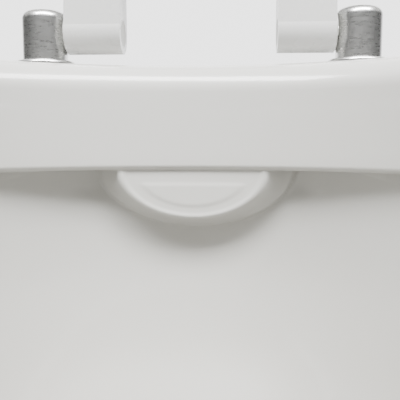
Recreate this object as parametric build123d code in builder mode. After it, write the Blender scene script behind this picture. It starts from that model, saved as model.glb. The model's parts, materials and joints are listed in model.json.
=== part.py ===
"""Rimless WC pan for a hospital ward, with a ring seat, its hinges, flush seal and floor fixings.

Millimetres. The pan stands on the floor with its back against a wall. +Z is up, the front faces -Y and the
wall is the plane Y = BACK. The origin is on the floor, under the middle of the pan. The seat is modelled
raised, leaning back a little past upright on its hinges.
"""

import os

from build123d import *

# ---------------------------------------------------------------- driving dimensions
PAN_WIDTH = 365.0
PAN_LENGTH = 570.0
PAN_HEIGHT = 400.0
WALL = 11.0  # thickness of the fired clay
DECK = 14.0  # thickness of the rim and the seat deck

BACK = PAN_LENGTH / 2
FRONT = -BACK
HALF_WIDTH = PAN_WIDTH / 2
WIDEST_Y = -13.0  # where the straight sides end and the rounded front begins

# The opening of the bowl, at the inner face of the rim
MOUTH_HALF_WIDTH = 134.0
MOUTH_REAR = 121.0
MOUTH_FRONT = -231.0
RIM_EDGE_RADIUS = 9.0
MOUTH_EDGE_RADIUS = 12.0

# The open flush channel under the rim, and the half-round deflector in front of the flush outlet
BAND_BOTTOM = 355.0
BAND_OVERHANG = 15.0  # how far the wall under the band is set back behind it at the rear
CHANNEL_HEIGHT = 51.0
CHANNEL_UPRIGHT = 12.0  # the channel's upper part; below it the wall slopes back in to the bowl
CHANNEL_SLOPE = 28.0
CHANNEL_REAR = 142.0
CHANNEL_RADIUS = 112.0
DEFLECTOR_HALF_WIDTH = 36.0
DEFLECTOR_DROP = 23.0
DEFLECTOR_FRONT = 124.0
DEFLECTOR_THICKNESS = 8.0
CHAMBER_HALF_WIDTH = 42.0
CHAMBER_REAR = 178.0
CHAMBER_HEIGHT = 19.0

# Services at the back
INLET_Z = 325.0
INLET_RADIUS = 27.5  # at its mouth
INLET_DRAFT = 1.0
INLET_END = 262.0
OUTLET_Z = 180.0
OUTLET_BORE_RADIUS = 43.0
SPIGOT_RADIUS = 51.0
SPIGOT_START = 242.0
SPIGOT_END = 280.0
TRAP_RADIUS = 33.0
SUMP_FLOOR = 78.0

# Seat and hinges
HINGE_SPACING = 155.0
HINGE_Y = 150.0
HINGE_Z = PAN_HEIGHT + 18.0
OPEN_ANGLE = 97.0  # how far the raised seat stands from the lowered one
SEAT_HALF_WIDTH = 180.0
SEAT_FRONT = -282.0
SEAT_REAR = 127.0
SEAT_THICKNESS = 18.0
SEAT_UNDERSIDE = PAN_HEIGHT + 5.0
SEAT_HOLE_HALF_WIDTH = 104.0
SEAT_HOLE_REAR = 86.0
SEAT_HOLE_FRONT = -204.0
KNUCKLE_INNER = 38.0
KNUCKLE_OUTER = 65.5
KNUCKLE_RADIUS = 10.0
PIN_RADIUS = 4.0
BUSH_RADIUS = 6.5
POST_RADIUS = 11.0
POST_FLANGE_RADIUS = 15.0

# Floor fixings
FIX_Y = 120.0
FIX_Z = 45.0
FIX_HOLE_RADIUS = 6.0
SEAT_BOLT_HOLE_RADIUS = 8.0

RUNNING = 0.05  # radial clearance of a pin in its bush
GAP = 0.3  # clearance between pieces that move past each other

os.makedirs("parts", exist_ok=True)


# ---------------------------------------------------------------- shared outlines
def d_section(height, half_width, front, rear=BACK):
    """A level section with a flat back, straight sides and a half-elliptical front."""
    with BuildSketch(Plane.XY.offset(height)) as section:
        with BuildLine():
            Line((half_width, WIDEST_Y), (half_width, rear))
            Line((half_width, rear), (-half_width, rear))
            Line((-half_width, rear), (-half_width, WIDEST_Y))
            EllipticalCenterArc((0, WIDEST_Y), half_width, WIDEST_Y - front, start_angle=180, arc_size=180)
        make_face()
    return section.sketch


def egg_section(height, half_width, front, rear, widest):
    """A level oval section, rounder at the rear than at the front."""
    with BuildSketch(Plane.XY.offset(height)) as section:
        with BuildLine():
            EllipticalCenterArc((0, widest), half_width, rear - widest, start_angle=0, arc_size=180)
            EllipticalCenterArc((0, widest), half_width, widest - front, start_angle=180, arc_size=180)
        make_face()
    return section.sketch


def save(part, name):
    """Labels a finished piece and writes it as parts/name.step."""
    part.label = name
    export_step(part, f"parts/{name}.step")


def opened(part):
    """A piece drawn with the seat lowered, swung up about the hinge to where the raised seat holds it."""
    return part.rotate(Axis((0, HINGE_Y, HINGE_Z), (1, 0, 0)), -OPEN_ANGLE)


# ---------------------------------------------------------------- the pan
# Each skirt section is (height, half width, front); the top one is also the outline of the rim.
SKIRT = [
    (0.0, 138.0, -150.0),
    (110.0, 144.0, -166.0),
    (220.0, 162.0, -215.0),
    (310.0, 179.0, -270.0),
    (BAND_BOTTOM, HALF_WIDTH, FRONT),
]

# Each bowl section is (height, half width, front, rear, where it is widest)
BOWL = [
    (BAND_BOTTOM + 1, MOUTH_HALF_WIDTH, MOUTH_FRONT, MOUTH_REAR + BAND_OVERHANG, -12.0),
    (326.0, 131.5, -223.0, 136.0, -11.0),
    (300.0, 126.0, -208.0, 133.5, -9.0),
    (270.0, 116.0, -182.0, 122.5, -6.0),
    (240.0, 104.0, -152.0, 103.0, -3.0),
    (180.0, 74.0, -84.0, 66.0, 4.0),
    (130.0, 48.0, -34.0, 52.0, 14.0),
    (SUMP_FLOOR, 38.0, -14.0, 48.0, 16.0),
]

TRAP_ROUTE = [
    (0, 14, 108),
    (0, 80, 106),
    (0, 158, 266),
    (0, 228, OUTLET_Z),
    (0, SPIGOT_END, OUTLET_Z),
]
TRAP_BENDS = [58, 47, 47]


def trap_tube(radius):
    """The trap's water way, or its outer skin, as a tube of that radius."""
    with BuildPart() as tube:
        with BuildLine() as route:
            FilletPolyline(*TRAP_ROUTE, radius=TRAP_BENDS)
        with BuildSketch(Plane(origin=route.wire() @ 0, z_dir=route.wire() % 0)):
            Circle(radius)
        sweep()
    return tube.part


with BuildPart() as pan:
    # Outer skirt, with the upright band of the rim on top of it
    loft(sections=[d_section(*level) for level in SKIRT])
    extrude(d_section(BAND_BOTTOM, HALF_WIDTH, FRONT), amount=PAN_HEIGHT - BAND_BOTTOM)
    rim_edges = pan.faces().sort_by(Axis.Z)[-1].edges()
    fillet(rim_edges.filter_by(lambda e: e.center().Y < BACK - 1), RIM_EDGE_RADIUS)

    # The space inside the skirt, open below and at the back
    loft(
        sections=[d_section(z, half - WALL, front + WALL, BACK + 20) for z, half, front in SKIRT],
        mode=Mode.SUBTRACT,
    )
    extrude(
        d_section(BAND_BOTTOM, HALF_WIDTH - WALL, FRONT + WALL, BACK + 20),
        amount=PAN_HEIGHT - DECK - BAND_BOTTOM,
        mode=Mode.SUBTRACT,
    )

    # The bowl's outer wall, the housing of the flush chamber, the flush inlet and the outlet spigot
    shell = [(z if z > SUMP_FLOOR else z - WALL, a, front, rear, mid) for z, a, front, rear, mid in BOWL]
    loft(
        sections=[
            egg_section(z, a + WALL, front - WALL, rear + WALL, mid) for z, a, front, rear, mid in shell
        ]
    )
    overhung = MOUTH_REAR + BAND_OVERHANG
    extrude(
        egg_section(BAND_BOTTOM + 1, MOUTH_HALF_WIDTH + WALL, MOUTH_FRONT - WALL, overhung + WALL, -12.0),
        amount=PAN_HEIGHT - DECK - BAND_BOTTOM,
    )
    with BuildSketch(Plane.XY.offset(BAND_BOTTOM - CHANNEL_HEIGHT)):
        with Locations((0, (MOUTH_REAR + CHAMBER_REAR + WALL) / 2 - 20)):
            Rectangle(2 * (CHAMBER_HALF_WIDTH + WALL), CHAMBER_REAR + WALL - MOUTH_REAR + 40)
        with Locations((0, CHANNEL_REAR - CHANNEL_RADIUS)):
            Circle(CHANNEL_RADIUS + WALL)
    extrude(amount=CHANNEL_HEIGHT + WALL)
    with BuildSketch(Plane.XZ.offset(-INLET_END)):
        with Locations((0, INLET_Z)):
            Circle(INLET_RADIUS + WALL)
    extrude(amount=INLET_END - MOUTH_REAR - 20)
    add(trap_tube(TRAP_RADIUS + WALL - 1))
    with BuildSketch(Plane.XZ.offset(-SPIGOT_END)):
        with Locations((0, OUTLET_Z)):
            Circle(SPIGOT_RADIUS)
    extrude(amount=SPIGOT_END - SPIGOT_START)

    # The inside of the bowl
    loft(sections=[egg_section(*level) for level in BOWL], mode=Mode.SUBTRACT)
    extrude(
        egg_section(BAND_BOTTOM, MOUTH_HALF_WIDTH, MOUTH_FRONT, MOUTH_REAR, WIDEST_Y),
        amount=PAN_HEIGHT - BAND_BOTTOM + 1,
        mode=Mode.SUBTRACT,
    )
    top_edges = pan.faces().sort_by(Axis.Z)[-1].edges()
    central = top_edges.filter_by(lambda e: abs(e.center().X) < 1)
    fillet(central.filter_by(lambda e: FRONT + 20 < e.center().Y < BACK - 20), MOUTH_EDGE_RADIUS)

    # The flush channel under the rim, the chamber behind it, the inlet bore and the trap's water way
    channel_floor = BAND_BOTTOM - CHANNEL_UPRIGHT
    for start, depth, slope in (
        (BAND_BOTTOM, CHANNEL_UPRIGHT, 0),
        (channel_floor, CHANNEL_HEIGHT - CHANNEL_UPRIGHT, CHANNEL_SLOPE),
    ):
        with BuildSketch(Plane.XY.offset(start)):
            with Locations((0, CHANNEL_REAR - CHANNEL_RADIUS)):
                Circle(CHANNEL_RADIUS)
            with Locations((0, CHANNEL_REAR - 1.9 * CHANNEL_RADIUS)):
                Rectangle(4 * CHANNEL_RADIUS, 2 * CHANNEL_RADIUS, mode=Mode.SUBTRACT)
        extrude(amount=-depth, taper=slope, mode=Mode.SUBTRACT)
    with BuildSketch(Plane.XY.offset(BAND_BOTTOM - CHAMBER_HEIGHT)):
        with Locations((0, (MOUTH_REAR + CHAMBER_REAR) / 2 + 5)):
            Rectangle(2 * CHAMBER_HALF_WIDTH, CHAMBER_REAR - MOUTH_REAR - 10)
    extrude(amount=CHAMBER_HEIGHT, mode=Mode.SUBTRACT)
    with BuildSketch(Plane.XZ.offset(-INLET_END)):
        with Locations((0, INLET_Z)):
            Circle(INLET_RADIUS)
    extrude(amount=INLET_END - CHAMBER_REAR + 12, taper=INLET_DRAFT, mode=Mode.SUBTRACT)
    add(trap_tube(TRAP_RADIUS), mode=Mode.SUBTRACT)
    with BuildSketch(Plane.XZ.offset(-SPIGOT_END)):
        with Locations((0, OUTLET_Z)):
            Circle(OUTLET_BORE_RADIUS)
    extrude(amount=32, mode=Mode.SUBTRACT)

    # The half-round deflector that hangs from the rim in front of the chamber
    with BuildSketch(Plane.XZ.offset(-DEFLECTOR_FRONT - DEFLECTOR_THICKNESS)):
        with Locations((0, BAND_BOTTOM)):
            Ellipse(DEFLECTOR_HALF_WIDTH, DEFLECTOR_DROP)
            with Locations((0, DEFLECTOR_DROP)):
                Rectangle(3 * DEFLECTOR_HALF_WIDTH, 2 * DEFLECTOR_DROP, mode=Mode.SUBTRACT)
    extrude(amount=DEFLECTOR_THICKNESS)

    # Holes for the seat bolts and the side screws
    with Locations(*[(side * HINGE_SPACING / 2, HINGE_Y, PAN_HEIGHT) for side in (-1, 1)]):
        Hole(SEAT_BOLT_HOLE_RADIUS, depth=2 * DECK)
    with BuildSketch(Plane.YZ.offset(-HALF_WIDTH)):
        with Locations((FIX_Y, FIX_Z)):
            Circle(FIX_HOLE_RADIUS)
    extrude(amount=PAN_WIDTH, mode=Mode.SUBTRACT)
save(pan.part, "pan")
print("pan", pan.part.volume / 1e6, "litres,", len(pan.part.solids()), "solid(s), valid", pan.part.is_valid)


# ---------------------------------------------------------------- the seat, drawn lowered and then raised
# Each pad of rubber under the seat is (x, y, direction of its length)
FRONT_PADS = [(101.0, -200.0, 52.0), (-101.0, -200.0, -52.0)]
REAR_PADS = [(150.0, 58.0, 90.0), (-150.0, 58.0, 90.0)]
PAD_HEIGHT = SEAT_UNDERSIDE - PAN_HEIGHT - GAP
PAD_STEM_RADIUS = 3.5
PAD_STEM_LENGTH = 7.0

with BuildPart() as seat_ring:
    with BuildSketch(Plane.XY.offset(SEAT_UNDERSIDE)) as ring_plan:
        add(d_section(SEAT_UNDERSIDE, SEAT_HALF_WIDTH, SEAT_FRONT, SEAT_REAR))
        fillet(ring_plan.vertices().group_by(Axis.Y)[-1], 62)
    extrude(amount=SEAT_THICKNESS)
    extrude(
        egg_section(SEAT_UNDERSIDE, SEAT_HOLE_HALF_WIDTH, SEAT_HOLE_FRONT, SEAT_HOLE_REAR, WIDEST_Y),
        amount=SEAT_THICKNESS,
        mode=Mode.SUBTRACT,
    )
    fillet(seat_ring.faces().sort_by(Axis.Z)[-1].edges(), 7)
    fillet(seat_ring.faces().sort_by(Axis.Z)[0].edges(), 2.5)
    # The two hinge arms at the rear, bored for their bushes
    for start in (KNUCKLE_INNER, -KNUCKLE_OUTER):
        with BuildSketch(Plane.YZ.offset(start)):
            with Locations((HINGE_Y, HINGE_Z)):
                Circle(KNUCKLE_RADIUS)
            Polygon(
                (SEAT_REAR - 14, SEAT_UNDERSIDE + 1.5),
                (HINGE_Y - 2, HINGE_Z - KNUCKLE_RADIUS + 0.2),
                (HINGE_Y, HINGE_Z + KNUCKLE_RADIUS),
                (SEAT_REAR - 14, SEAT_UNDERSIDE + SEAT_THICKNESS - 0.5),
                align=None,
            )
        extrude(amount=KNUCKLE_OUTER - KNUCKLE_INNER)
        with BuildSketch(Plane.YZ.offset(start)):
            with Locations((HINGE_Y, HINGE_Z)):
                Circle(BUSH_RADIUS)
        extrude(amount=KNUCKLE_OUTER - KNUCKLE_INNER, mode=Mode.SUBTRACT)
    # Blind holes for the stems of the pads
    with BuildSketch(Plane.XY.offset(SEAT_UNDERSIDE)):
        with Locations(*[(x, y) for x, y, turn in FRONT_PADS + REAR_PADS]):
            Circle(PAD_STEM_RADIUS + 0.1)
    extrude(amount=PAD_STEM_LENGTH + 1, mode=Mode.SUBTRACT)
save(opened(seat_ring.part), "seat_ring")

for place, pads in (("front", FRONT_PADS), ("rear", REAR_PADS)):
    for x, y, turn in pads:
        with BuildPart() as pad:
            with BuildSketch(Plane.XY.offset(SEAT_UNDERSIDE)):
                with Locations((x, y)):
                    SlotOverall(30, 12, rotation=turn)
            extrude(amount=-PAD_HEIGHT)
            fillet(pad.faces().sort_by(Axis.Z)[0].edges(), 1.5)
            with BuildSketch(Plane.XY.offset(SEAT_UNDERSIDE)):
                with Locations((x, y)):
                    Circle(PAD_STEM_RADIUS)
            extrude(amount=PAD_STEM_LENGTH)
        save(opened(pad.part), f"seat_pad_{place}_{'right' if x > 0 else 'left'}")

# ---------------------------------------------------------------- the hinges, one each side
POST_TOP = HINGE_Z + 11.0
GASKET = 1.5
FLANGE = 3.0
STUD_RADIUS = 4.0
STUD_TOP = HINGE_Z - 7.0
STUD_BOTTOM = 352.0
CUP_HEIGHT = 7.0
NUT_HEIGHT = 10.0

for side, name in ((-1, "left"), (1, "right")):
    x = side * HINGE_SPACING / 2
    inner = x - side * POST_RADIUS
    deck_below = PAN_HEIGHT - DECK

    with BuildPart() as gasket:
        with BuildSketch(Plane.XY.offset(PAN_HEIGHT)):
            with Locations((x, HINGE_Y)):
                Circle(POST_FLANGE_RADIUS + 0.5)
                Circle(STUD_RADIUS + 0.1, mode=Mode.SUBTRACT)
        extrude(amount=GASKET)
    save(gasket.part, f"hinge_gasket_{name}")

    with BuildPart() as post:
        with BuildSketch(Plane.XY.offset(PAN_HEIGHT + GASKET)):
            with Locations((x, HINGE_Y)):
                Circle(POST_FLANGE_RADIUS)
        extrude(amount=FLANGE)
        fillet(post.faces().sort_by(Axis.Z)[-1].edges(), 1.5)
        with BuildSketch(Plane.XY.offset(PAN_HEIGHT + GASKET)):
            with Locations((x, HINGE_Y)):
                Circle(POST_RADIUS)
        extrude(amount=POST_TOP - PAN_HEIGHT - GASKET)
        fillet(post.faces().sort_by(Axis.Z)[-1].edges(), 4)
        with BuildSketch(Plane.XY.offset(PAN_HEIGHT + GASKET)):
            with Locations((x, HINGE_Y)):
                Circle(STUD_RADIUS)
        extrude(amount=STUD_TOP - PAN_HEIGHT - GASKET, mode=Mode.SUBTRACT)
        with BuildSketch(Plane.YZ.offset(x - side * (POST_RADIUS + 1))):
            with Locations((HINGE_Y, HINGE_Z)):
                Circle(PIN_RADIUS)
        extrude(amount=side * (2 * POST_RADIUS - 1.5), mode=Mode.SUBTRACT)
        with BuildSketch(Plane.XZ.offset(-HINGE_Y - POST_RADIUS - 1)):
            with Locations((x, HINGE_Z)):
                Circle(2)
        extrude(amount=POST_RADIUS + 1, mode=Mode.SUBTRACT)
    save(post.part, f"hinge_post_{name}")

    with BuildPart() as pin:
        with BuildSketch(Plane.YZ.offset(side * (KNUCKLE_INNER + 2))):
            with Locations((HINGE_Y, HINGE_Z)):
                Circle(PIN_RADIUS)
        extrude(amount=side * (HINGE_SPACING / 2 + POST_RADIUS - 2.5 - KNUCKLE_INNER - 2))
        chamfer(pin.faces().sort_by(Axis.X)[-1 if side < 0 else 0].edges(), 0.6)
    save(pin.part, f"hinge_pin_{name}")

    with BuildPart() as grub:
        with BuildSketch(Plane.XZ.offset(-HINGE_Y - PIN_RADIUS)):
            with Locations((x, HINGE_Z)):
                Circle(2)
        extrude(amount=-6.5)
        with BuildSketch(Plane.XZ.offset(-HINGE_Y - PIN_RADIUS - 6.5)):
            with Locations((x, HINGE_Z)):
                RegularPolygon(1.1, 6)
        extrude(amount=2.5, mode=Mode.SUBTRACT)
    save(grub.part, f"hinge_grub_screw_{name}")

    with BuildPart() as bush:
        with BuildSketch(Plane.YZ.offset(side * KNUCKLE_INNER)):
            with Locations((HINGE_Y, HINGE_Z)):
                Circle(BUSH_RADIUS)
        extrude(amount=side * (KNUCKLE_OUTER - KNUCKLE_INNER))
        with BuildSketch(Plane.YZ.offset(side * KNUCKLE_OUTER)):
            with Locations((HINGE_Y, HINGE_Z)):
                Circle(KNUCKLE_RADIUS - 1)
        extrude(amount=side * 0.6)
        with BuildSketch(Plane.YZ.offset(side * (KNUCKLE_INNER + 1.5))):
            with Locations((HINGE_Y, HINGE_Z)):
                Circle(PIN_RADIUS + RUNNING)
        extrude(amount=side * KNUCKLE_OUTER, mode=Mode.SUBTRACT)
    save(bush.part, f"hinge_bush_{name}")

    with BuildPart() as stud:
        with BuildSketch(Plane.XY.offset(STUD_BOTTOM)):
            with Locations((x, HINGE_Y)):
                Circle(STUD_RADIUS)
        extrude(amount=STUD_TOP - STUD_BOTTOM)
        chamfer(stud.faces().sort_by(Axis.Z)[0].edges(), 1)
    save(stud.part, f"hinge_stud_{name}")

    with BuildPart() as cup:
        with BuildSketch(Plane.XY.offset(deck_below - CUP_HEIGHT)):
            with Locations((x, HINGE_Y)):
                Circle(15)
        extrude(amount=CUP_HEIGHT)
        fillet(cup.faces().sort_by(Axis.Z)[0].edges(), 2.5)
        with BuildSketch(Plane.XY.offset(deck_below)):
            with Locations((x, HINGE_Y)):
                Circle(SEAT_BOLT_HOLE_RADIUS - 0.2)
        extrude(amount=5)
        with BuildSketch(Plane.XY.offset(deck_below - CUP_HEIGHT)):
            with Locations((x, HINGE_Y)):
                Circle(STUD_RADIUS + 0.2)
        extrude(amount=CUP_HEIGHT + 5, mode=Mode.SUBTRACT)
    save(cup.part, f"hinge_cup_washer_{name}")

    with BuildPart() as nut:
        with BuildSketch(Plane.XY.offset(deck_below - CUP_HEIGHT - NUT_HEIGHT)):
            with Locations((x, HINGE_Y)):
                Circle(8)
        extrude(amount=NUT_HEIGHT)
        with BuildSketch(Plane.YZ.offset(x - 1.8)):
            with Locations((HINGE_Y, deck_below - CUP_HEIGHT - NUT_HEIGHT + 4)):
                SlotOverall(36, 14)
        extrude(amount=3.6)
        with BuildSketch(Plane.XY.offset(deck_below - CUP_HEIGHT)):
            with Locations((x, HINGE_Y)):
                Rectangle(60, 60)
        extrude(amount=20, mode=Mode.SUBTRACT)
        with BuildSketch(Plane.XY.offset(deck_below - CUP_HEIGHT - 40)):
            with Locations((x, HINGE_Y)):
                Circle(STUD_RADIUS)
        extrude(amount=60, mode=Mode.SUBTRACT)
    save(nut.part, f"hinge_wing_nut_{name}")

# ---------------------------------------------------------------- flush inlet seal
SEAL_BORE_RADIUS = 22.0

with BuildPart() as inlet_seal:
    with BuildSketch(Plane.XZ.offset(-INLET_END)):
        with Locations((0, INLET_Z)):
            Circle(INLET_RADIUS - 0.1)
    extrude(amount=26, taper=INLET_DRAFT)
    with BuildSketch(Plane.XZ.offset(-INLET_END)):
        with Locations((0, INLET_Z)):
            Circle(INLET_RADIUS + 8)
    extrude(amount=-4)
    fillet(inlet_seal.faces().sort_by(Axis.Y)[-1].edges(), 1.5)
    with BuildSketch(Plane.XZ.offset(-INLET_END - 5)):
        with Locations((0, INLET_Z)):
            Circle(SEAL_BORE_RADIUS)
    extrude(amount=40, mode=Mode.SUBTRACT)
save(inlet_seal.part, "inlet_seal")

# ---------------------------------------------------------------- floor fixings, one each side
SKIRT_AT_SCREW = 139.3  # half width of the skirt at the height of the side screws
BRACKET_WIDTH = 40.0
BRACKET_SHEET = 4.0
BRACKET_HEIGHT = 64.0
BRACKET_FOOT = 44.0
BRACKET_FACE = SKIRT_AT_SCREW - WALL - 2.6
FLOOR_HOLE_RADIUS = 4.5

for side, name in ((-1, "left"), (1, "right")):
    face = side * BRACKET_FACE
    foot_x = face - side * (BRACKET_FOOT / 2 + BRACKET_SHEET / 2)

    with BuildPart() as bracket:
        with BuildSketch(Plane.XZ.offset(-FIX_Y + BRACKET_WIDTH / 2)):
            Polygon(
                (face, 0),
                (face, BRACKET_HEIGHT),
                (face - side * BRACKET_SHEET, BRACKET_HEIGHT),
                (face - side * BRACKET_SHEET, BRACKET_SHEET),
                (face - side * BRACKET_FOOT, BRACKET_SHEET),
                (face - side * BRACKET_FOOT, 0),
                align=None,
            )
        extrude(amount=-BRACKET_WIDTH)
        corner = (face - side * BRACKET_SHEET, FIX_Y, BRACKET_SHEET)
        fillet(bracket.edges().filter_by(Axis.Y).sort_by_distance(corner)[0], 5)
        with BuildSketch():
            with Locations((foot_x, FIX_Y)):
                Circle(FLOOR_HOLE_RADIUS)
        extrude(amount=BRACKET_SHEET, mode=Mode.SUBTRACT)
        with BuildSketch(Plane.YZ.offset(face)):
            with Locations((FIX_Y, FIX_Z)):
                Circle(3)
        extrude(amount=-side * BRACKET_SHEET, mode=Mode.SUBTRACT)
    save(bracket.part, f"floor_bracket_{name}")

    with BuildPart() as fix_bush:
        with BuildSketch(Plane.YZ.offset(face)):
            with Locations((FIX_Y, FIX_Z)):
                Circle(FIX_HOLE_RADIUS - 0.1)
        extrude(amount=side * (SKIRT_AT_SCREW - 2 - BRACKET_FACE))
        with BuildSketch(Plane.YZ.offset(face)):
            with Locations((FIX_Y, FIX_Z)):
                Circle(9)
        extrude(amount=side * 1.7)
        with BuildSketch(Plane.YZ.offset(face)):
            with Locations((FIX_Y, FIX_Z)):
                Circle(3.1)
        extrude(amount=side * 20, mode=Mode.SUBTRACT)
    save(fix_bush.part, f"side_bush_{name}")

    with BuildPart() as screw:
        with BuildSketch(Plane.YZ.offset(face - side * 12)):
            with Locations((FIX_Y, FIX_Z)):
                Circle(3)
        extrude(amount=side * (SKIRT_AT_SCREW - 2 - BRACKET_FACE + 12))
        with BuildSketch(Plane.YZ.offset(side * (SKIRT_AT_SCREW - 2))):
            with Locations((FIX_Y, FIX_Z)):
                Circle(5.5)
        extrude(amount=side * 4)
        with BuildSketch(Plane.YZ.offset(side * (SKIRT_AT_SCREW + 2))):
            with Locations((FIX_Y, FIX_Z)):
                RegularPolygon(2.5, 6)
        extrude(amount=-side * 2.5, mode=Mode.SUBTRACT)
    save(screw.part, f"side_screw_{name}")

    with BuildPart() as cap:
        with BuildSketch(Plane.YZ.offset(side * (SKIRT_AT_SCREW + 0.6))):
            with Locations((FIX_Y, FIX_Z)):
                Circle(9)
        extrude(amount=side * 4)
        fillet(cap.faces().sort_by(Axis.X)[-1 if side > 0 else 0].edges(), 2.5)
        with BuildSketch(Plane.YZ.offset(side * (SKIRT_AT_SCREW + 0.6))):
            with Locations((FIX_Y, FIX_Z)):
                Circle(5.6)
        extrude(amount=side * 1.6, mode=Mode.SUBTRACT)
    save(cap.part, f"side_cap_{name}")
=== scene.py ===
"""Looks for the rimless toilet pan: glaze, materials, floor, light and the camera inside the bowl. Metres."""

import json
import math

import bpy
import numpy as np
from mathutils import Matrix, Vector


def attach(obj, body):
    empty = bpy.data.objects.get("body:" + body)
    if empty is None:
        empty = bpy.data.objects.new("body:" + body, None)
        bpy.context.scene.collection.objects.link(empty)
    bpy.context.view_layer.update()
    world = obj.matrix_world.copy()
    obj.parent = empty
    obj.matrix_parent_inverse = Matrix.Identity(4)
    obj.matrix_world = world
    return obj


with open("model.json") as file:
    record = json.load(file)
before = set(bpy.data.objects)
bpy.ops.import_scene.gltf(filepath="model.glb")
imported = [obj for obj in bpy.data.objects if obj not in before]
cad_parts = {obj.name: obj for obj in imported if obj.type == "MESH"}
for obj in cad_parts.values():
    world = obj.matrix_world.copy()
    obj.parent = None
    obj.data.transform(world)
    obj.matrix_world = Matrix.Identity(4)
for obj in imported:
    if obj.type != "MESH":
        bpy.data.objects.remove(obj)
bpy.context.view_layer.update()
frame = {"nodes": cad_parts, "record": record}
nodes = frame["nodes"]
SCENE = bpy.context.scene
MM = 0.001


# ---------------------------------------------------------------- materials
def new_material(name):
    """An empty material, its node tree and its shader, which is joined to the output."""
    material = bpy.data.materials.new(name)
    material.use_nodes = True
    tree = material.node_tree
    tree.nodes.clear()
    out = tree.nodes.new("ShaderNodeOutputMaterial")
    shader = tree.nodes.new("ShaderNodeBsdfPrincipled")
    tree.links.new(shader.outputs[0], out.inputs[0])
    return material, tree, shader


def place_coords(tree):
    """Coordinates in the part's own frame, the same for every piece."""
    return tree.nodes.new("ShaderNodeTexCoord").outputs["Object"]


def noise(tree, coords, scale, detail=2.0, rough=0.5):
    node = tree.nodes.new("ShaderNodeTexNoise")
    node.inputs["Scale"].default_value = scale
    node.inputs["Detail"].default_value = detail
    node.inputs["Roughness"].default_value = rough
    tree.links.new(coords, node.inputs["Vector"])
    return node.outputs["Fac"]


def ramp(tree, value, low, high, colour_low, colour_high):
    node = tree.nodes.new("ShaderNodeValToRGB")
    node.color_ramp.elements[0].position = low
    node.color_ramp.elements[1].position = high
    node.color_ramp.elements[0].color = (*colour_low, 1.0)
    node.color_ramp.elements[1].color = (*colour_high, 1.0)
    tree.links.new(value, node.inputs["Fac"])
    return node.outputs["Color"]


def span(tree, value, low, high):
    """The value, which runs from 0 to 1, stretched to run from low to high."""
    node = tree.nodes.new("ShaderNodeMapRange")
    node.inputs["To Min"].default_value = low
    node.inputs["To Max"].default_value = high
    tree.links.new(value, node.inputs["Value"])
    return node.outputs["Result"]


def bump(tree, shader, height, distance, strength=1.0, below=None):
    node = tree.nodes.new("ShaderNodeBump")
    node.inputs["Distance"].default_value = distance
    node.inputs["Strength"].default_value = strength
    tree.links.new(height, node.inputs["Height"])
    if below is not None:
        tree.links.new(below, node.inputs["Normal"])
    tree.links.new(node.outputs["Normal"], shader.inputs["Normal"])
    return node.outputs["Normal"]


def glaze_material():
    """White vitreous glaze: a soft body colour under a clear coat, faintly wavy as fired surfaces are."""
    material, tree, shader = new_material("white_glaze")
    coords = place_coords(tree)
    tone = ramp(tree, noise(tree, coords, 9.0, 3.0, 0.55), 0.3, 0.7, GLAZE_DARK, GLAZE_LIGHT)
    # painted shade: the glaze's colour is multiplied a shade darker and warmer low in the bowl, to dim the
    # lower wall where the overhead light falls more brightly
    height = tree.nodes.new("ShaderNodeSeparateXYZ")
    tree.links.new(coords, height.inputs[0])
    below = tree.nodes.new("ShaderNodeMapRange")
    below.interpolation_type = "SMOOTHSTEP"
    below.inputs["From Min"].default_value = PAINTED_SHADE_FULL_Z
    below.inputs["From Max"].default_value = PAINTED_SHADE_CLEAR_Z
    tree.links.new(height.outputs["Z"], below.inputs["Value"])
    painted_shade_tint = tree.nodes.new("ShaderNodeMix")
    painted_shade_tint.data_type = "RGBA"
    painted_shade_tint.blend_type = "MULTIPLY"
    painted_shade_tint.inputs["Factor"].default_value = 1.0
    tree.links.new(tone, painted_shade_tint.inputs["A"])
    shade = ramp(tree, below.outputs["Result"], 0.0, 1.0, PAINTED_SHADE_BELOW, (1.0, 1.0, 1.0))
    tree.links.new(shade, painted_shade_tint.inputs["B"])
    tree.links.new(painted_shade_tint.outputs["Result"], shader.inputs["Base Color"])
    tree.links.new(span(tree, noise(tree, coords, 60.0, 4.0), 0.27, 0.31), shader.inputs["Roughness"])
    shader.inputs["IOR"].default_value = 1.5
    shader.inputs["Specular IOR Level"].default_value = 0.35
    shader.inputs["Coat Weight"].default_value = 0.55
    shader.inputs["Coat Roughness"].default_value = 0.09
    shader.inputs["Coat IOR"].default_value = 1.5
    waves = bump(tree, shader, noise(tree, coords, 22.0, 2.0), 0.0006, 0.15)
    bump(tree, shader, noise(tree, coords, 420.0, 3.0), 0.00004, 0.35, below=waves)
    return material


def mottle(tree, shader, coords, scale, dark, light, low=0.3, high=0.7, detail=3.0):
    """A base colour that drifts softly between two tones."""
    colour = ramp(tree, noise(tree, coords, scale, detail), low, high, dark, light)
    tree.links.new(colour, shader.inputs["Base Color"])


def plastic_material(name, dark, light, roughness, grain, coat=0.0):
    material, tree, shader = new_material(name)
    coords = place_coords(tree)
    mottle(tree, shader, coords, 14.0, dark, light)
    worn = span(tree, noise(tree, coords, 90.0, 4.0), roughness - 0.05, roughness + 0.07)
    tree.links.new(worn, shader.inputs["Roughness"])
    shader.inputs["Coat Weight"].default_value = coat
    shader.inputs["Coat Roughness"].default_value = 0.12
    bump(tree, shader, noise(tree, coords, 900.0, 3.0), grain, 0.5)
    return material


def rubber_material(name, dark, light):
    material, tree, shader = new_material(name)
    coords = place_coords(tree)
    mottle(tree, shader, coords, 40.0, dark, light, detail=4.0)
    tree.links.new(span(tree, noise(tree, coords, 130.0, 3.0), 0.55, 0.75), shader.inputs["Roughness"])
    shader.inputs["Specular IOR Level"].default_value = 0.35
    bump(tree, shader, noise(tree, coords, 1200.0, 4.0), 0.0001, 0.6)
    return material


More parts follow.
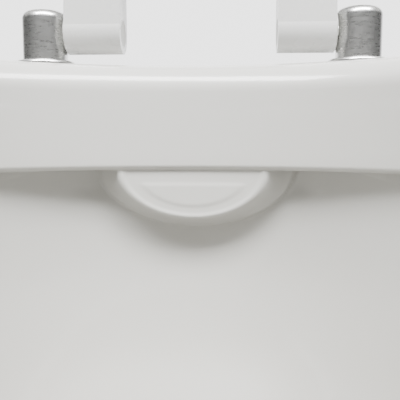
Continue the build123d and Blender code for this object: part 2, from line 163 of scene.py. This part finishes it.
def metal_material(name, colour, low, high, stretch):
    """Brushed or turned metal, with fine lines drawn out along the axes where stretch is lowest."""
    material, tree, shader = new_material(name)
    coords = place_coords(tree)
    mapping = tree.nodes.new("ShaderNodeMapping")
    mapping.inputs["Scale"].default_value = stretch
    tree.links.new(coords, mapping.inputs["Vector"])
    lines = noise(tree, mapping.outputs["Vector"], 240.0, 3.0, 0.6)
    tree.links.new(span(tree, lines, low, high), shader.inputs["Roughness"])
    dull = tuple(0.86 * c for c in colour)
    mottle(tree, shader, coords, 30.0, dull, colour, low=0.35)
    shader.inputs["Metallic"].default_value = 1.0
    bump(tree, shader, lines, 0.00003, 0.6)
    return material


# The whites are darker than white paint, so that little light bounces about inside the bowl
GLAZE_DARK = (0.452, 0.448, 0.427)
GLAZE_LIGHT = (0.466, 0.462, 0.441)
PAINTED_SHADE_BELOW = (0.795, 0.784, 0.766)  # painted shade: what the glaze's colour is multiplied by low down in the bowl
# heights (m) below which the painted shade is full and above which it is gone
PAINTED_SHADE_FULL_Z = 0.25
PAINTED_SHADE_CLEAR_Z = 0.36
SEAT_DARK, SEAT_LIGHT = (0.470, 0.470, 0.462), (0.490, 0.490, 0.482)
CAP_DARK, CAP_LIGHT = (0.465, 0.465, 0.457), (0.485, 0.485, 0.477)
NYLON_DARK, NYLON_LIGHT = (0.40, 0.40, 0.38), (0.44, 0.44, 0.42)
PAD_DARK, PAD_LIGHT = (0.38, 0.38, 0.37), (0.43, 0.43, 0.42)
SATIN_STEEL = (0.74, 0.74, 0.73)
PLATED_STEEL = (0.62, 0.62, 0.60)
PRESSED_STEEL = (0.60, 0.61, 0.61)

MATERIALS = {
    "ceramic": glaze_material(),
    "seat_plastic": plastic_material("seat_plastic", SEAT_DARK, SEAT_LIGHT, 0.26, 0.00003, 0.3),
    "cap_plastic": plastic_material("cap_plastic", CAP_DARK, CAP_LIGHT, 0.30, 0.00003, 0.2),
    "nylon": plastic_material("white_nylon", NYLON_DARK, NYLON_LIGHT, 0.48, 0.00006),
    "pad_rubber": rubber_material("pad_rubber", PAD_DARK, PAD_LIGHT),
    "gasket_rubber": rubber_material("gasket_rubber", (0.018, 0.018, 0.018), (0.035, 0.035, 0.035)),
    "seal_rubber": rubber_material("seal_rubber", (0.014, 0.014, 0.015), (0.030, 0.030, 0.031)),
    "hinge_metal": metal_material("satin_steel", SATIN_STEEL, 0.20, 0.38, (1.0, 1.0, 6.0)),
    "steel": metal_material("plated_steel", PLATED_STEEL, 0.28, 0.46, (1.0, 1.0, 4.0)),
    "bracket_steel": metal_material("pressed_steel", PRESSED_STEEL, 0.34, 0.55, (2.0, 0.5, 2.0)),
}

for subpart in frame["record"]["subparts"]:
    node = nodes[subpart["node"]]
    node.data.materials.clear()
    node.data.materials.append(MATERIALS[subpart["material_slot"]])


# ---------------------------------------------------------------- the glazed surface of the bowl
# The glaze is a closed shell about a millimetre thick that lies on the bowl's inside. It is a grid of columns
# around the bowl and rows from the seat deck down into the sump. Lengths in this section are millimetres.
DECK_Z = 400.0
EGG_MID = -13.0
MOUTH_A = 133.0
MOUTH_REAR = 120.0
MOUTH_FRONT = -230.0
RIM_RADIUS = 13.0
BAND_Z = 352.0
BAND_EDGE_RADIUS = 2.6
SHELL = 0.8
PLAIN_WALL_Z = 288.0  # below this height there is only the bowl's own wall
SUMP_TUCK_Z = 168.0  # from here down the shell slips in behind the wall of the sump
BEHIND_BAND = 60.0  # deeper than any surface below the band

# The flush channel is part of a circle about a point behind the middle of the bowl
CHANNEL_CENTRE = 43.0
CHANNEL_RADIUS = 112.0
CHANNEL_SKIN = 2.2  # how far the glaze stands off the bottom of the channel
CHANNEL_UPRIGHT = 9.0
CHANNEL_BEND = 6.0
CHANNEL_FALL = 0.53
CHANNEL_END = 70.0  # where the channel's upper edge starts to drop away from the rim
CHANNEL_TAPER = 26.0

# The deflector: half ovals of its outer edge and its face, as half width and drop
DEFLECTOR_EDGE = (47.0, 27.6)
DEFLECTOR_FACE = (37.8, 22.5)
DEFLECTOR_SHIFT = 1.4
FACE_DEPTH = 1.9
BEAD_HEIGHT = 0.45
PANEL_HEIGHT = 0.35

# Bowl levels: (height, half width, front, rear, where it is widest)
LEVELS = np.array(
    [
        (150.0, 57.0, -51.0, 53.5, 9.0),
        (180.0, 73.0, -83.0, 65.0, 4.0),
        (240.0, 103.0, -151.0, 101.8, -3.0),
        (270.0, 115.0, -181.0, 121.3, -6.0),
        (300.0, 125.0, -207.0, 132.2, -9.0),
        (326.0, 130.5, -222.0, 134.8, -11.0),
        (352.0, 133.0, -230.0, 135.0, -12.0),
    ]
)


def smoothstep(t):
    t = np.clip(t, 0.0, 1.0)
    return t * t * (3.0 - 2.0 * t)


def soft_min(a, b, k):
    """The lower of two values, with a rounded changeover about k wide."""
    h = np.clip(0.5 + 0.5 * (b - a) / k, 0.0, 1.0)
    return b * (1.0 - h) + a * h - k * h * (1.0 - h)


def level_values(z):
    """The bowl's oval at height z, on a smooth curve through LEVELS."""
    zs = LEVELS[:, 0]
    out = []
    for column in range(1, 5):
        ys = LEVELS[:, column]
        slopes = np.gradient(ys, zs)
        i = np.clip(np.searchsorted(zs, z) - 1, 0, len(zs) - 2)
        h = zs[i + 1] - zs[i]
        t = np.clip((z - zs[i]) / h, 0.0, 1.0)
        out.append(
            (2 * t**3 - 3 * t**2 + 1) * ys[i]
            + (t**3 - 2 * t**2 + t) * h * slopes[i]
            + (3 * t**2 - 2 * t**3) * ys[i + 1]
            + (t**3 - t**2) * h * slopes[i + 1]
        )
    return out


def oval(theta, a, front, rear, mid):
    depth = np.where(np.sin(theta) >= 0, rear - mid, mid - front)
    return a * np.cos(theta), mid + depth * np.sin(theta)


def channel_depth(u, v):
    """Depth of the flush channel behind the band's face, v below it: upright at first, then a long slope."""
    phi = np.clip(u / MOUTH_A, -1.5, 1.5)
    reach = np.sqrt(CHANNEL_RADIUS**2 - (CHANNEL_CENTRE * np.sin(phi)) ** 2)
    back = CHANNEL_CENTRE * np.cos(phi) + reach - MOUTH_A - CHANNEL_SKIN
    down = v - CHANNEL_UPRIGHT
    return back - CHANNEL_FALL * (down + 0.5 * (np.sqrt(down**2 + CHANNEL_BEND**2) - down))


def deflector(u, z):
    """How far up the deflector's flank a point is, from 0 outside it to 1 on its face, and how far out it is
    on the face, where 1 is the face's edge."""
    v = BAND_Z - z
    outer = np.hypot(u / DEFLECTOR_EDGE[0], v / DEFLECTOR_EDGE[1])
    inner = np.hypot((u + DEFLECTOR_SHIFT) / DEFLECTOR_FACE[0], v / DEFLECTOR_FACE[1])
    inside = 1.0 - outer
    flank = np.clip(inside / np.maximum(np.maximum(inner - 1.0, 0.0) + inside, 1e-6), 0.0, 1.0)
    return flank, inner


def wall_depth(u, z, wall):
    """Depth behind the band's face of the surface below the band, for a plain wall at depth wall."""
    v = BAND_Z - z
    # the channel's upper edge drops away from the rim only at its two ends
    drop = 5.0 * smoothstep((np.abs(u) - CHANNEL_END) / CHANNEL_TAPER)
    closed = 1.0 - smoothstep((v + 1.5 - drop) / 3.0 + 0.5)
    channel = channel_depth(u, v) - 6.0 * closed * (drop > 0.05)
    base = -soft_min(-wall, -channel, 4.0)
    flank, edge = deflector(u, z)
    # the face has a fine bead along its edge and a shallow raised panel in its middle
    bead = BEAD_HEIGHT * np.exp(-(((edge - 0.95) / 0.035) ** 2))
    panel = PANEL_HEIGHT * smoothstep((0.80 - edge) / 0.10) * smoothstep((v - 5.5) / 2.0)
    face = FACE_DEPTH + 0.02 * v - bead - panel
    shape = 0.22 * smoothstep(flank / 0.10) + 0.78 * (smoothstep(flank) * 0.35 + flank * 0.65)
    tongue = base * (1.0 - shape) + face * shape
    return np.where(flank > 0, np.minimum(tongue, base), base)


def column_angles():
    """Angles of the grid's columns, close together where the deflector and the channel are."""
    half = [0.0]
    while half[-1] < 62.0:
        half.append(half[-1] + 0.8)
    while half[-1] < 100.0:
        half.append(half[-1] + 1.7)
    rear = np.array(half) / MOUTH_A
    rest = np.linspace(rear[-1], math.pi, 52)[1:-1]
    side = np.concatenate([rear, rest])
    angles = np.concatenate([math.pi / 2 - side, [-math.pi / 2], math.pi / 2 + side[1:][::-1]])
    return angles


def bowl_rows():
    """(height, depth behind the band) of each row, with depth None on the band and below, where it varies."""
    rows = [(DECK_Z - 0.9, RIM_RADIUS + 3.2), (DECK_Z - 0.12, RIM_RADIUS + 1.5)]
    for k in range(13):
        angle = math.radians(90.0 * k / 12)
        fall = RIM_RADIUS * (1 - math.cos(angle))
        rows.append((DECK_Z + 0.02 - fall, RIM_RADIUS * (1 - math.sin(angle))))
    rows += [(z, None) for z in (380.0, 373.0, 365.0, 359.5)]
    for k in range(13):
        angle = math.radians(90.0 * k / 12)
        rows.append((BAND_Z + BAND_EDGE_RADIUS * (1 - math.sin(angle)), None))
    rows += [(z, None) for z in np.arange(BAND_Z - 0.15, 310.0, -0.6)]
    rows += [(z, None) for z in np.arange(308.5, 270.0, -2.0)]
    rows += [(z, None) for z in np.arange(266.0, 158.0, -5.0)]
    rows.append((156.0, None))
    return rows


def band_depth(z):
    """Depth of the band's face at height z: flat, then rounded back at its lower edge."""
    if z < BAND_Z:
        return BEHIND_BAND
    rise = max(BAND_Z + BAND_EDGE_RADIUS - z, 0.0)
    return BAND_EDGE_RADIUS - math.sqrt(max(BAND_EDGE_RADIUS**2 - rise**2, 0.0))


def surface_depth(u, z, wall):
    """Depth behind the band's face of the glaze at height z, all round the bowl."""
    count = len(u)
    if z >= BAND_Z + BAND_EDGE_RADIUS:
        return np.zeros(count)
    if z < PLAIN_WALL_Z:
        return wall + 2.4 * smoothstep((SUMP_TUCK_Z - z) / 12.0)
    return soft_min(np.full(count, band_depth(z)), wall_depth(u, np.full(count, z), wall), 0.9)


def bowl_shell():
    """The closed glaze shell as vertices and faces."""
    theta = column_angles()
    count = len(theta)
    x0, y0 = oval(theta, MOUTH_A, MOUTH_FRONT, MOUTH_REAR, EGG_MID)
    depth_y = np.where(np.sin(theta) >= 0, MOUTH_REAR - EGG_MID, EGG_MID - MOUTH_FRONT)
    normal = np.stack([np.cos(theta) * depth_y, np.sin(theta) * MOUTH_A], axis=1)
    normal /= np.linalg.norm(normal, axis=1)[:, None]
    turned = (math.pi / 2 - theta + math.pi) % (2 * math.pi) - math.pi
    u = turned * MOUTH_A
    at_rear = np.abs(u) < MOUTH_A * math.pi / 2

    def row(x, y, shift, z):
        return np.stack([x + normal[:, 0] * shift, y + normal[:, 1] * shift, np.full(count, z)], axis=1)

    front_side, back_side = [], []
    for z, given in bowl_rows():
        a, front, rear, mid = level_values(min(z, BAND_Z))
        x, y = oval(theta, a, front, rear, mid)
        wall = np.where(at_rear, (x - x0) * normal[:, 0] + (y - y0) * normal[:, 1], 0.0)
        if given is None:
            depth = surface_depth(u, z, wall)
            back, back_z = depth + SHELL, z
        else:
            depth = np.full(count, given)
            back = depth + SHELL * (RIM_RADIUS - depth) / RIM_RADIUS * (given <= RIM_RADIUS)
            back_z = z - SHELL * min(1.0, given / RIM_RADIUS)
        front_side.append(row(x, y, depth - wall, z))
        back_side.append(row(x, y, back - wall, back_z))
    ring = front_side + back_side[::-1]
    vertices = np.concatenate(ring) * MM
    rows = len(ring)
    faces = []
    for r in range(rows):
        s = (r + 1) % rows
        for c in range(count):
            d = (c + 1) % count
            faces.append((r * count + c, s * count + c, s * count + d, r * count + d))
    return vertices, faces


def mesh_object(name, vertices, faces, material):
    mesh = bpy.data.meshes.new(name)
    mesh.from_pydata([tuple(v) for v in vertices], [], faces)
    mesh.validate()
    mesh.materials.append(material)
    for polygon in mesh.polygons:
        polygon.use_smooth = True
    item = bpy.data.objects.new(name, mesh)
    SCENE.collection.objects.link(item)
    return item


glaze = mesh_object("bowl_glaze", *bowl_shell(), MATERIALS["ceramic"])
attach(glaze, "pan")

# ---------------------------------------------------------------- floor, light and camera
FLOOR_HALF = 8.0
WORLD_DIM = 0.09
DOME = 1.35
DOME_START = 0.30
BACKDROP = 3.0

floor_mesh = bpy.data.meshes.new("floor")
corners = [(FLOOR_HALF * x, FLOOR_HALF * y, 0.0) for x, y in ((-1, -1), (1, -1), (1, 1), (-1, 1))]
floor_mesh.from_pydata(corners, [], [(0, 1, 2, 3)])
floor = bpy.data.objects.new("floor", floor_mesh)
SCENE.collection.objects.link(floor)
floor.location.z = -0.0005
floor_material, _, floor_shader = new_material("pale_floor")
floor_shader.inputs["Base Color"].default_value = (0.82, 0.82, 0.81, 1.0)
floor_shader.inputs["Roughness"].default_value = 0.6
floor_mesh.materials.append(floor_material)

# A studio with a wide soft dome of light overhead, a bright backdrop behind the part (+Y) and dim walls
world = bpy.data.worlds.new("studio")
world.use_nodes = True
tree = world.node_tree
direction = tree.nodes.new("ShaderNodeSeparateXYZ")
tree.links.new(tree.nodes.new("ShaderNodeTexCoord").outputs["Generated"], direction.inputs[0])


def glow(axis, start, full, low, high):
    """Light that grows smoothly from low to high as the direction turns towards an axis."""
    node = tree.nodes.new("ShaderNodeMapRange")
    node.interpolation_type = "SMOOTHSTEP"
    for name, value in (("From Min", start), ("From Max", full), ("To Min", low), ("To Max", high)):
        node.inputs[name].default_value = value
    tree.links.new(direction.outputs[axis], node.inputs["Value"])
    return node.outputs["Result"]


total = tree.nodes.new("ShaderNodeMath")
total.operation = "ADD"
tree.links.new(glow("Z", DOME_START, 0.85, WORLD_DIM, DOME), total.inputs[0])
tree.links.new(glow("Y", 0.45, 0.90, 0.0, BACKDROP), total.inputs[1])
tree.links.new(total.outputs[0], tree.nodes["Background"].inputs["Strength"])
tree.nodes["Background"].inputs["Color"].default_value = (1.0, 1.0, 1.0, 1.0)
SCENE.world = world


def area_light(name, place, aim, size, power, colour=(1.0, 1.0, 1.0)):
    data = bpy.data.lights.new(name, "AREA")
    data.shape = "RECTANGLE"
    data.size, data.size_y = size
    data.energy = power
    data.color = colour
    item = bpy.data.objects.new(name, data)
    SCENE.collection.objects.link(item)
    item.location = place
    item.rotation_euler = (Vector(aim) - Vector(place)).to_track_quat("-Z", "Y").to_euler()
    return item


area_light("key", (0.10, -0.61, 1.70), (0.0, 0.05, 0.36), (2.0, 0.5), 150.0)

camera_data = bpy.data.cameras.new("camera")
camera_data.lens = 52.8
camera_data.sensor_width = 36.0
camera_data.clip_start = 0.01
camera = bpy.data.objects.new("camera", camera_data)
SCENE.collection.objects.link(camera)
camera.location = (0.018, -0.146, 0.366)
aim = Vector((0.0020, 0.120, 0.3383))
camera.rotation_euler = (aim - camera.location).to_track_quat("-Z", "Y").to_euler()
SCENE.camera = camera
